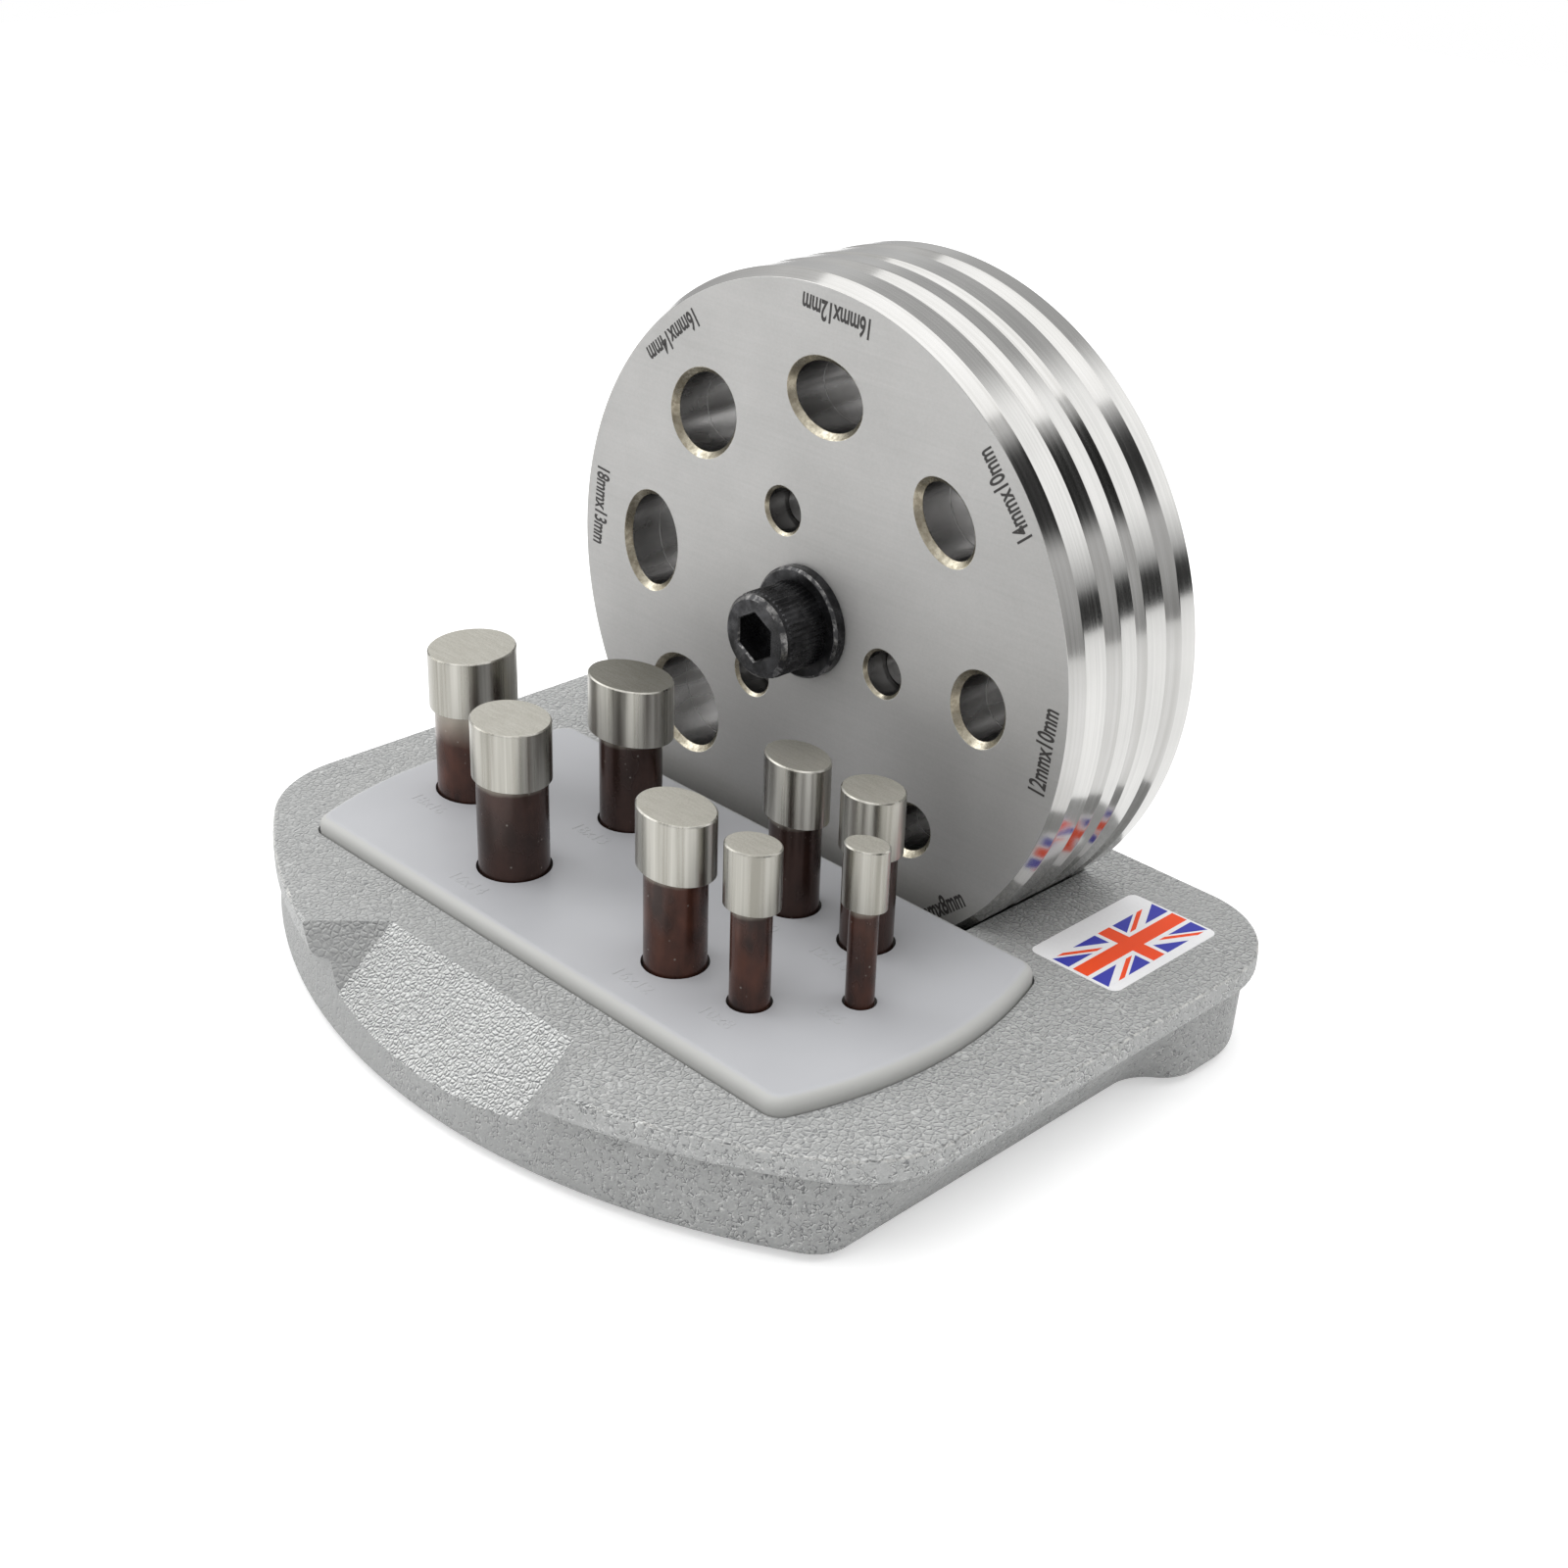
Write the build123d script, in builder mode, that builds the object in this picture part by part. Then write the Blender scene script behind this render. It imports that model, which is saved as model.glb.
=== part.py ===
from build123d import *
import os
from math import asin, cos, degrees, radians, sin

os.makedirs("parts", exist_ok=True)

# All sizes in mm. +X right, +Y to the back, +Z up, origin on the bench under the middle of the stand.

# stand: heights
pad_proud = 1.0            # rubber pads lift the casting off the bench
casting_height = 19.3      # underside of the casting to the top of its plate
plate_thickness = 5.2      # overhanging plate that the skirt carries
plate_edge_round = 0.8
plate_under_round = 1.7

# stand: plate outline, a D with the bow at the front
base_depth = 132.5
plate_half_width = 84.5
plate_nose_ahead = 1.95    # the panel cuts the tip off the front bow, which would reach this far ahead
plate_front_radius = 125.5
plate_front_corner = 24.0
plate_rear_corner = 19.3

# stand: skirt under the plate, drawn in towards the bench at the sides
skirt_top_inset = 0.85     # behind the frontmost point of the stand
skirt_floor_ahead = 0.1    # the bottom round takes this off again
skirt_top_radius = 126.0
skirt_side_inset = 2.5
skirt_rear_inset = 2.0
skirt_front_corner = 22.0
skirt_rear_corner = 17.3
skirt_floor_radius = 135.0
skirt_floor_side_inset = 9.6
skirt_floor_corner = 7.0
skirt_floor_rear_inset = 0.8
skirt_bottom_round = 1.6

# stand: rear corner feet, bulging out of the skirt
foot_start_ahead = 39.25   # where the swell starts and ends, ahead of the rear edge
foot_full_ahead = 25.25
foot_floor_inset = 2.2

# stand: sloped panel cut into the front
panel_top_behind = 14.8    # behind the frontmost point of the stand
panel_half_width = 25.0
panel_slope = 40.0
panel_length = 24.0
panel_wall_flare = 55.0    # side walls lean this far out from the panel's normal
panel_cut_height = 24.0

# punch tray and its recess
tray_depth = 61.9
tray_to_slot = 0.7
tray_corner_inset = 22.4   # from the side of the plate
tray_middle_inset = 16.2
tray_corner_radius = 3.5
tray_proud = 2.9           # tray top above the plate
tray_edge_round = 2.0
tray_gap = 0.4
recess_depth = 12.0
socket_depth = 12.0
socket_play = 0.45         # radial room round a punch shank

# die set: four round plates on edge
die_diameter = 125.0
die_gauge = 8.0            # thickness of one plate
die_back_inset = 11.1      # from the rear edge of the stand
die_lift = 1.7             # lowest point of the plates above the underside of the casting
rim_chamfer_radial = 1.5
rim_chamfer_narrow = 2.7   # axial length on the first plate of a pair
rim_chamfer_wide = 4.1     # axial length on the second plate of a pair
die_turn = -4.0            # how far the set has been rolled round in its slot, degrees

# slot that holds the die set
slot_front_gap = 2.9
slot_rear_gap = 0.4
saddle_gap = 0.3
window_half_width = 20.0

# oval holes, named for the long and short axis of the disc they cut
hole_ring_radius = 42.0
hole_play = 0.05
mouth_chamfer = 1.15
relief_step = 0.4          # the last plate's holes are wider, so discs fall free

# clamp screw
screw_diameter = 10.0
screw_head_diameter = 16.0
screw_head_length = 10.0
screw_hex = 8.0
screw_hex_depth = 5.0
screw_head_chamfer = 0.8
screw_end_chamfer = 1.0
screw_tip_short = 0.6      # screw end stops this far inside the back face
thread_play = 0.05
screw_hole_play = 0.3
washer_diameter = 20.8
washer_thickness = 2.4
washer_chamfer = 0.5
washer_play = 0.25

# guide pins
pin_diameter = 8.0
pin_ring_radius = 20.0
pin_first_angle = 112.5    # before the set is rolled round
pin_count = 3
pin_recess = 5.0
pin_end_short = 1.0
pin_fit = 0.01
pin_sliding_fit = 0.05
pin_mouth_chamfer = 0.6
pin_end_chamfer = 0.5

# rubber foot pads
pad_diameter = 10.0
pad_inset = 1.5
pad_edge_chamfer = 0.4
pad_front_inset_x = 28.5   # pad centres, from the sides, front and rear of the stand
pad_front_inset_y = 26.25
pad_rear_inset_x = 10.5
pad_rear_inset_y = 14.25

# cored pockets under the casting, one each side of the slot
core_beyond_slot = 4.1     # wall between the slot's end and the core
core_width = 18.0
core_front_inset = 3.75    # behind the slot's front wall
core_rear_inset = 8.25
core_depth = 13.0
core_corner = 4.0

# punches: oval head on a round shank, standing in the tray
punch_shank_show = 18.2    # bare shank between the tray and the head
punch_head_height = 11.15
punch_seat_gap = 0.05
punch_top_chamfer = 0.25
punch_foot_chamfer = 0.5

# one entry per oval, in hole order round the set: axes, shank, place from the middle of the tray
# and the turn of the long axis
ovals = {
    "18x13": dict(long=18.0, short=13.0, shank=11.8, x=-23.0, y=13.25, turn=6.0),
    "16x14": dict(long=16.0, short=14.0, shank=13.0, x=-23.0, y=-14.45, turn=171.0),
    "16x12": dict(long=16.0, short=12.0, shank=10.9, x=21.1, y=-14.75, turn=175.5),
    "14x10": dict(long=14.0, short=10.0, shank=9.3, x=20.6, y=13.45, turn=173.0),
    "12x10": dict(long=12.0, short=10.0, shank=9.4, x=37.8, y=14.25, turn=179.0),
    "10x8": dict(long=10.0, short=8.0, shank=6.9, x=38.5, y=-13.95, turn=16.0),
    "8x6": dict(long=8.0, short=6.0, shank=4.95, x=50.5, y=-0.4, turn=14.0),
    "18x16": dict(long=18.0, short=16.0, shank=14.9, x=-52.4, y=-0.65, turn=108.0),
}

# stand, worked out from the sizes above
back_y = base_depth / 2
plate_top = pad_proud + casting_height
plate_under = plate_top - plate_thickness
plate_nose = back_y + plate_nose_ahead
skirt_top_nose = back_y - skirt_top_inset
skirt_floor_nose = back_y + skirt_floor_ahead
skirt_rear_y = back_y - skirt_rear_inset
skirt_top_half_width = plate_half_width - skirt_side_inset
skirt_floor_half_width = plate_half_width - skirt_floor_side_inset
foot_top_half_width = plate_half_width - skirt_rear_inset
foot_floor_half_width = plate_half_width - foot_floor_inset
foot_start = back_y - foot_start_ahead
foot_full = back_y - foot_full_ahead
panel_top_y = panel_top_behind - back_y

# die set and its slot
die_radius = die_diameter / 2
die_axis_z = pad_proud + die_lift + die_radius
die_back_y = back_y - die_back_inset
die_face_y = die_back_y - 4 * die_gauge
saddle_radius = die_radius + saddle_gap
slot_front = die_face_y - slot_front_gap
slot_rear = die_back_y + slot_rear_gap
slot_half_length = (saddle_radius**2 - (die_axis_z - plate_top) ** 2) ** 0.5
core_inner_x = slot_half_length + core_beyond_slot
core_front_y = slot_front + core_front_inset
core_rear_y = back_y - core_rear_inset

# tray and punches
recess_floor = plate_top - recess_depth
tray_top = plate_top + tray_proud
tray_rear = slot_front - tray_to_slot
tray_front = tray_rear - tray_depth
tray_middle_y = (tray_front + tray_rear) / 2
tray_corner_half_width = plate_half_width - tray_corner_inset
tray_middle_half_width = plate_half_width - tray_middle_inset
socket_floor = tray_top - socket_depth
head_under = tray_top + punch_shank_show


def export(part, name):
    part.label = name
    export_step(part, f"parts/{name}.step")


def facing(y):
    # plane square to the die axis at depth y, seen from the front: X right, Y up
    return Plane(origin=(0, y, die_axis_z), x_dir=(1, 0, 0), z_dir=(0, -1, 0))


def front_bow(nose, radius, half_width):
    # half of the front bow, from the middle out to the given half width
    return CenterArc((0, radius - nose), radius, -90, degrees(asin(half_width / radius)))


def plate_outline():
    with BuildSketch() as outline:
        with BuildLine():
            bow = front_bow(plate_nose, plate_front_radius, plate_half_width)
            Polyline(bow @ 1, (plate_half_width, back_y), (0, back_y))
            mirror(about=Plane.YZ)
        make_face()
        corners = outline.vertices().filter_by(lambda v: abs(v.X) > plate_half_width / 2)
        fillet(corners.group_by(Axis.Y)[0], plate_front_corner)
        fillet(outline.vertices().filter_by(lambda v: abs(v.X) > plate_half_width / 2)
               .group_by(Axis.Y)[-1], plate_rear_corner)
    return outline.sketch


def skirt_outline(nose, radius, half_width, foot_half_width, rear_y, front_corner):
    # D with a soft S in each side, where the skirt swells out into the rear foot
    sway_y = (foot_start + foot_full) / 2
    sway_x = (half_width + foot_half_width) / 2
    with BuildSketch() as outline:
        with BuildLine():
            bow = front_bow(nose, radius, half_width)
            Line(bow @ 1, (half_width, foot_start))
            leave = TangentArc((half_width, foot_start), (sway_x, sway_y), tangent=(0, 1))
            TangentArc((sway_x, sway_y), (foot_half_width, foot_full), tangent=leave % 1)
            Polyline((foot_half_width, foot_full), (foot_half_width, rear_y), (0, rear_y))
            mirror(about=Plane.YZ)
        make_face()
        bow_ends = outline.vertices().filter_by(lambda v: abs(v.Y - (bow @ 1).Y) < 0.001)
        fillet(bow_ends, front_corner)
        rear = outline.vertices().group_by(Axis.Y)[-1].filter_by(lambda v: abs(v.X) > half_width / 2)
        fillet(rear, skirt_rear_corner)
    return outline.sketch


def tray_outline(extra):
    with BuildSketch() as outline:
        with BuildLine():
            Line((-tray_corner_half_width, tray_front), (tray_corner_half_width, tray_front))
            ThreePointArc((tray_corner_half_width, tray_front), (tray_middle_half_width, tray_middle_y),
                          (tray_corner_half_width, tray_rear))
            Line((tray_corner_half_width, tray_rear), (-tray_corner_half_width, tray_rear))
            ThreePointArc((-tray_corner_half_width, tray_rear), (-tray_middle_half_width, tray_middle_y),
                          (-tray_corner_half_width, tray_front))
        make_face()
        fillet(outline.vertices(), tray_corner_radius)
        if extra:
            offset(amount=extra)
    return outline.sketch


def build_base_casting():
    with BuildPart() as base_casting:
        # overhanging plate
        with BuildSketch(Plane.XY.offset(plate_under)):
            add(plate_outline())
        extrude(amount=plate_thickness)
        fillet(base_casting.edges().group_by(Axis.Z)[-1], plate_edge_round)
        fillet(base_casting.edges().group_by(Axis.Z)[0], plate_under_round)

        # skirt, lofted from the plate down to the bench
        with BuildSketch(Plane.XY.offset(pad_proud)):
            add(skirt_outline(skirt_floor_nose, skirt_floor_radius, skirt_floor_half_width,
                              foot_floor_half_width, skirt_rear_y - skirt_floor_rear_inset,
                              skirt_floor_corner))
        with BuildSketch(Plane.XY.offset(plate_under)):
            add(skirt_outline(skirt_top_nose, skirt_top_radius, skirt_top_half_width,
                              foot_top_half_width, skirt_rear_y, skirt_front_corner))
        loft(ruled=True)
        fillet(base_casting.edges().group_by(Axis.Z)[0], skirt_bottom_round)

        # sloped panel at the front, with side walls that flare outwards
        slope = radians(panel_slope)
        panel = Plane(origin=(0, panel_top_y, plate_top), x_dir=(1, 0, 0),
                      z_dir=(0, -sin(slope), cos(slope)))
        with BuildSketch(panel):
            with Locations((0, -panel_length / 2)):
                Rectangle(2 * panel_half_width, panel_length)
        extrude(amount=panel_cut_height, taper=-panel_wall_flare, mode=Mode.SUBTRACT)

        # recess for the tray, open into the slot behind it
        with BuildSketch(Plane.XY.offset(recess_floor)):
            add(tray_outline(tray_gap))
            with Locations((0, (tray_front + slot_front) / 2)):
                Rectangle(2 * slot_half_length, slot_front - tray_front)
        extrude(amount=recess_depth, mode=Mode.SUBTRACT)

        # slot with a saddle that follows the die plates, and the window under it
        with BuildSketch(facing(slot_front)):
            Circle(saddle_radius)
        extrude(amount=slot_front - slot_rear, mode=Mode.SUBTRACT)
        with BuildSketch(Plane.XY):
            with Locations((0, (slot_front + slot_rear) / 2)):
                Rectangle(2 * window_half_width, slot_rear - slot_front)
        extrude(amount=plate_top, mode=Mode.SUBTRACT)

        # pockets in the underside: cores beside the slot, and seats for the pads
        with BuildSketch(Plane.XY.offset(pad_proud)):
            for side in (-1, 1):
                with Locations((side * (core_inner_x + core_width / 2), (core_front_y + core_rear_y) / 2)):
                    RectangleRounded(core_width, core_rear_y - core_front_y, core_corner)
        extrude(amount=core_depth, mode=Mode.SUBTRACT)
        with BuildSketch(Plane.XY.offset(pad_proud)):
            with Locations(*pad_places.values()):
                Circle(pad_diameter / 2)
        extrude(amount=pad_inset, mode=Mode.SUBTRACT)
    export(base_casting.part, "base_casting")


def tray_place(oval):
    return (oval["x"], tray_middle_y + oval["y"])


def build_punch_tray():
    with BuildPart() as punch_tray:
        with BuildSketch(Plane.XY.offset(recess_floor)):
            add(tray_outline(0))
        extrude(amount=tray_top - recess_floor)
        fillet(punch_tray.edges().group_by(Axis.Z)[-1], tray_edge_round)
        for oval in ovals.values():
            with BuildSketch(Plane.XY.offset(tray_top)):
                with Locations(tray_place(oval)):
                    Circle(oval["shank"] / 2 + socket_play)
            extrude(amount=-socket_depth, mode=Mode.SUBTRACT)
    export(punch_tray.part, "punch_tray")


def build_punch(name, oval):
    foot_z = socket_floor + punch_seat_gap
    with BuildPart() as punch:
        with BuildSketch(Plane.XY.offset(foot_z)):
            with Locations(tray_place(oval)):
                Circle(oval["shank"] / 2)
        extrude(amount=head_under - foot_z)
        chamfer(punch.edges().group_by(Axis.Z)[0], punch_foot_chamfer)
        with BuildSketch(Plane.XY.offset(head_under)):
            with Locations(tray_place(oval)):
                Ellipse(oval["long"] / 2, oval["short"] / 2, rotation=oval["turn"])
        extrude(amount=punch_head_height)
        chamfer(punch.edges().group_by(Axis.Z)[-1], punch_top_chamfer)
    export(punch.part, f"punch_{name}")


def hole_angle(index):
    # the holes are evenly spaced, clockwise from the left as seen from the front
    return 180 + die_turn - index * 360 / len(ovals)


def ring_place(radius, angle):
    return (radius * cos(radians(angle)), radius * sin(radians(angle)))


def build_die_plate(name, index, rim_chamfer, oval_play, pin_play, screw_play, mouth, pin_mouth):
    front = die_face_y + index * die_gauge
    with BuildPart() as die_plate:
        # disc with a long chamfer on the front of its rim
        with BuildSketch(Plane(origin=(0, front, die_axis_z))):
            with BuildLine():
                Polyline((0, 0), (die_radius - rim_chamfer_radial, 0), (die_radius, rim_chamfer),
                         (die_radius, die_gauge), (0, die_gauge), close=True)
            make_face()
        revolve(axis=Axis((0, 0, die_axis_z), (0, 1, 0)))

        # oval holes, long axis along the ring
        with BuildSketch(facing(front)):
            for place, oval in enumerate(ovals.values()):
                angle = hole_angle(place)
                with Locations(ring_place(hole_ring_radius, angle)):
                    Ellipse(oval["long"] / 2 + oval_play, oval["short"] / 2 + oval_play, rotation=angle + 90)
        extrude(amount=-die_gauge, mode=Mode.SUBTRACT)
        if mouth:
            chamfer(die_plate.edges().group_by(Axis.Y)[0].filter_by(GeomType.ELLIPSE), mouth)

        # guide pin holes
        with BuildSketch(facing(front)):
            with Locations(*pin_places):
                Circle(pin_diameter / 2 + pin_play)
        extrude(amount=-die_gauge, mode=Mode.SUBTRACT)
        if pin_mouth:
            pin_edges = (die_plate.edges().group_by(Axis.Y)[0].filter_by(GeomType.CIRCLE)
                         .filter_by(lambda e: e.radius < pin_diameter))
            chamfer(pin_edges, pin_mouth)

        # screw hole
        with BuildSketch(facing(front)):
            Circle(screw_diameter / 2 + screw_play)
        extrude(amount=-die_gauge, mode=Mode.SUBTRACT)
    export(die_plate.part, name)


def build_cap_screw():
    head_front = die_face_y - washer_thickness - screw_head_length
    tip = die_back_y - screw_tip_short
    with BuildPart() as cap_screw:
        with BuildSketch(facing(head_front)):
            Circle(screw_head_diameter / 2)
        extrude(amount=-screw_head_length)
        chamfer(cap_screw.edges().group_by(Axis.Y)[0], screw_head_chamfer)
        with BuildSketch(facing(head_front + screw_head_length)):
            Circle(screw_diameter / 2)
        extrude(amount=-(tip - head_front - screw_head_length))
        chamfer(cap_screw.edges().group_by(Axis.Y)[-1], screw_end_chamfer)
        with BuildSketch(facing(head_front)):
            RegularPolygon(screw_hex / 2, 6, major_radius=False)
        extrude(amount=-screw_hex_depth, mode=Mode.SUBTRACT)
    export(cap_screw.part, "cap_screw")


def build_thrust_washer():
    with BuildPart() as thrust_washer:
        with BuildSketch(facing(die_face_y - washer_thickness)):
            Circle(washer_diameter / 2)
            Circle(screw_diameter / 2 + washer_play, mode=Mode.SUBTRACT)
        extrude(amount=-washer_thickness)
        outer = thrust_washer.edges().group_by(Axis.Y)[0].sort_by(SortBy.RADIUS)[-1]
        chamfer(outer, washer_chamfer)
    export(thrust_washer.part, "thrust_washer")


def build_guide_pin(number, place):
    front = die_face_y + pin_recess
    with BuildPart() as guide_pin:
        with BuildSketch(facing(front)):
            with Locations(place):
                Circle(pin_diameter / 2)
        extrude(amount=-(die_back_y - pin_end_short - front))
        chamfer(guide_pin.edges().filter_by(GeomType.CIRCLE), pin_end_chamfer)
    export(guide_pin.part, f"guide_pin_{number}")


def build_foot_pad(name, place):
    with BuildPart() as foot_pad:
        with BuildSketch():
            with Locations(place):
                Circle(pad_diameter / 2)
        extrude(amount=pad_proud + pad_inset)
        chamfer(foot_pad.edges().group_by(Axis.Z)[0], pad_edge_chamfer)
    export(foot_pad.part, f"foot_pad_{name}")


pad_front_x = plate_half_width - pad_front_inset_x
pad_rear_x = plate_half_width - pad_rear_inset_x
pad_front_y = pad_front_inset_y - back_y
pad_rear_y = back_y - pad_rear_inset_y
pad_places = {
    "front_left": (-pad_front_x, pad_front_y),
    "front_right": (pad_front_x, pad_front_y),
    "rear_left": (-pad_rear_x, pad_rear_y),
    "rear_right": (pad_rear_x, pad_rear_y),
}
pin_places = [ring_place(pin_ring_radius, pin_first_angle + die_turn - k * 360 / pin_count)
              for k in range(pin_count)]

build_base_casting()
build_punch_tray()
for oval_name, oval_sizes in ovals.items():
    build_punch(oval_name, oval_sizes)
build_die_plate("front_guide_plate", 0, rim_chamfer_narrow, hole_play, pin_sliding_fit,
                screw_hole_play, mouth_chamfer, pin_mouth_chamfer)
build_die_plate("rear_guide_plate", 1, rim_chamfer_wide, hole_play, pin_sliding_fit,
                screw_hole_play, 0, 0)
build_die_plate("cutting_plate", 2, rim_chamfer_narrow, hole_play, pin_fit, screw_hole_play, 0, 0)
build_die_plate("backing_plate", 3, rim_chamfer_wide, hole_play + relief_step, pin_fit,
                thread_play, 0, 0)
build_cap_screw()
build_thrust_washer()
for pin_index, pin_place in enumerate(pin_places):
    build_guide_pin(pin_index + 1, pin_place)
for pad_name, pad_place in pad_places.items():
    build_foot_pad(pad_name, pad_place)
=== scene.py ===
import math

import bmesh
import bpy
from mathutils import Matrix, Vector


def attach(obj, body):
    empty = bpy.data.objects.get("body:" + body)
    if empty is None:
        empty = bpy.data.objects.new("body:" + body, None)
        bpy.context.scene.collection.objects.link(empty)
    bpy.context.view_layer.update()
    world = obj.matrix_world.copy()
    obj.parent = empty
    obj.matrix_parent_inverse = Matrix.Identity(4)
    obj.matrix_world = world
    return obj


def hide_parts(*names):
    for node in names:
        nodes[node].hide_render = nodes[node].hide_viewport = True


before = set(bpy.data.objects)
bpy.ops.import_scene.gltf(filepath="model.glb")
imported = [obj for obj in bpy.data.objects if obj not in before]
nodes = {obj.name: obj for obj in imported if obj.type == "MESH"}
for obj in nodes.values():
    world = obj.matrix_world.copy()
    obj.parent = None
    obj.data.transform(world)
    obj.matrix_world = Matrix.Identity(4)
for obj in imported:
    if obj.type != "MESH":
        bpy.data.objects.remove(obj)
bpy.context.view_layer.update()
mm = 0.001


# mesh helpers: every piece is drawn in millimetres and stored in metres

def newShape():
    return bmesh.new()


def ringPoints(radius, count, turn=0.0, oval=1.0):
    # points of a circle or an oval, counted round from the long axis
    ring = []
    for step in range(count):
        angle = 2 * math.pi * step / count
        u, v = radius * math.cos(angle), radius * oval * math.sin(angle)
        ring.append((u * math.cos(turn) - v * math.sin(turn), u * math.sin(turn) + v * math.cos(turn)))
    return ring


def addRing(shape, points, place):
    # place turns a flat point (u, v) into a point in space
    return [shape.verts.new(Vector(place(u, v)) * mm) for u, v in points]


def bridge(shape, lower, upper, finish):
    count = len(lower)
    for step in range(count):
        after = (step + 1) % count
        face = shape.faces.new((lower[step], lower[after], upper[after], upper[step]))
        face.material_index = finish


def cap(shape, ring, finish):
    face = shape.faces.new(ring)
    face.material_index = finish


def fillBetween(shape, rings, finish):
    # one flat face with holes in it
    edges = []
    for ring in rings:
        for step, vert in enumerate(ring):
            after = ring[(step + 1) % len(ring)]
            edges.append(shape.edges.get((vert, after)) or shape.edges.new((vert, after)))
    made = bmesh.ops.triangle_fill(shape, use_beauty=True, use_dissolve=False, edges=edges)
    for item in made["geom"]:
        if isinstance(item, bmesh.types.BMFace):
            item.material_index = finish


def finishShape(shape, name, materials, body, bevel=0.0, bevelAngle=17.0):
    bmesh.ops.recalc_face_normals(shape, faces=shape.faces)
    for face in shape.faces:
        face.smooth = True
    mesh = bpy.data.meshes.new(name)
    shape.to_mesh(mesh)
    shape.free()
    for material in materials:
        mesh.materials.append(material)
    piece = bpy.data.objects.new(name, mesh)
    bpy.context.scene.collection.objects.link(piece)
    mesh.set_sharp_from_angle(angle=math.radians(bevelAngle))
    if bevel:
        edge = piece.modifiers.new("softEdge", "BEVEL")
        edge.width = bevel * mm
        edge.segments = 2
        edge.limit_method = "ANGLE"
        edge.angle_limit = math.radians(bevelAngle)
        edge.harden_normals = True
        edge.use_clamp_overlap = True
    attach(piece, body)
    return piece


# material helpers

def startMaterial(name):
    material = bpy.data.materials.new(name)
    material.use_nodes = True
    tree = material.node_tree
    return material, tree, tree.nodes["Principled BSDF"]


def objectCoords(tree, stretch=(1, 1, 1)):
    coords = tree.nodes.new("ShaderNodeTexCoord")
    mapping = tree.nodes.new("ShaderNodeMapping")
    mapping.inputs["Scale"].default_value = stretch
    tree.links.new(coords.outputs["Object"], mapping.inputs["Vector"])
    return mapping.outputs["Vector"]


def noise(tree, coords, scale, detail=3.0, rough=0.5):
    node = tree.nodes.new("ShaderNodeTexNoise")
    node.inputs["Scale"].default_value = scale
    node.inputs["Detail"].default_value = detail
    node.inputs["Roughness"].default_value = rough
    tree.links.new(coords, node.inputs["Vector"])
    return node.outputs["Fac"]


def cells(tree, coords, scale, feature="F1"):
    node = tree.nodes.new("ShaderNodeTexVoronoi")
    node.feature = feature
    node.inputs["Scale"].default_value = scale
    tree.links.new(coords, node.inputs["Vector"])
    return node.outputs["Distance"]


def spread(tree, source, fromLow, fromHigh, toLow, toHigh):
    node = tree.nodes.new("ShaderNodeMapRange")
    node.inputs["From Min"].default_value = fromLow
    node.inputs["From Max"].default_value = fromHigh
    node.inputs["To Min"].default_value = toLow
    node.inputs["To Max"].default_value = toHigh
    tree.links.new(source, node.inputs["Value"])
    return node.outputs["Result"]


def maths(tree, kind, first, second):
    node = tree.nodes.new("ShaderNodeMath")
    node.operation = kind
    for place, value in enumerate((first, second)):
        if isinstance(value, (int, float)):
            node.inputs[place].default_value = value
        else:
            tree.links.new(value, node.inputs[place])
    return node.outputs["Value"]


def rise(tree, source, low, high, top=1.0):
    # 0 at low and top at high; high may be the smaller number
    return spread(tree, source, low, high, 0.0, top)


def times(tree, first, second):
    return maths(tree, "MULTIPLY", first, second)


def mixed(tree, first, second, share):
    # two patterns as one, the second with the given share
    return maths(tree, "ADD", times(tree, first, 1.0 - share), times(tree, second, share))


def blendColours(tree, factor, first, second):
    node = tree.nodes.new("ShaderNodeMix")
    node.data_type = "RGBA"
    tree.links.new(factor, node.inputs["Factor"])
    for socket, value in (("A", first), ("B", second)):
        plug = [s for s in node.inputs if s.name == socket and s.type == "RGBA"][0]
        if isinstance(value, tuple):
            plug.default_value = (*value, 1.0)
        else:
            tree.links.new(value, plug)
    return [s for s in node.outputs if s.type == "RGBA"][0]


def blendValues(tree, factor, first, second):
    node = tree.nodes.new("ShaderNodeMix")
    node.data_type = "FLOAT"
    tree.links.new(factor, node.inputs[0])
    for place, value in ((2, first), (3, second)):
        if isinstance(value, (int, float)):
            node.inputs[place].default_value = value
        else:
            tree.links.new(value, node.inputs[place])
    return node.outputs[0]


def scaleColour(tree, colour, level):
    node = tree.nodes.new("ShaderNodeHueSaturation")
    tree.links.new(colour, node.inputs["Color"])
    tree.links.new(level, node.inputs["Value"])
    return node.outputs["Color"]


def warped(tree, coords, scale, reach):
    # push the coordinates about with noise, so that cells lose their straight borders
    node = tree.nodes.new("ShaderNodeTexNoise")
    node.inputs["Scale"].default_value = scale
    tree.links.new(coords, node.inputs["Vector"])
    push = tree.nodes.new("ShaderNodeVectorMath")
    push.operation = "MULTIPLY_ADD"
    push.inputs[1].default_value = (reach, reach, reach)
    tree.links.new(node.outputs["Color"], push.inputs[0])
    tree.links.new(coords, push.inputs[2])
    return push.outputs["Vector"]


def emboss(tree, shader, height, strength, depth):
    bump = tree.nodes.new("ShaderNodeBump")
    bump.inputs["Strength"].default_value = strength
    bump.inputs["Distance"].default_value = depth * mm
    tree.links.new(height, bump.inputs["Height"])
    tree.links.new(bump.outputs["Normal"], shader.inputs["Normal"])


def towards(tree, source, direction):
    node = tree.nodes.new("ShaderNodeVectorMath")
    node.operation = "DOT_PRODUCT"
    tree.links.new(source, node.inputs[0])
    node.inputs[1].default_value = direction
    return node.outputs["Value"]


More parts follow.
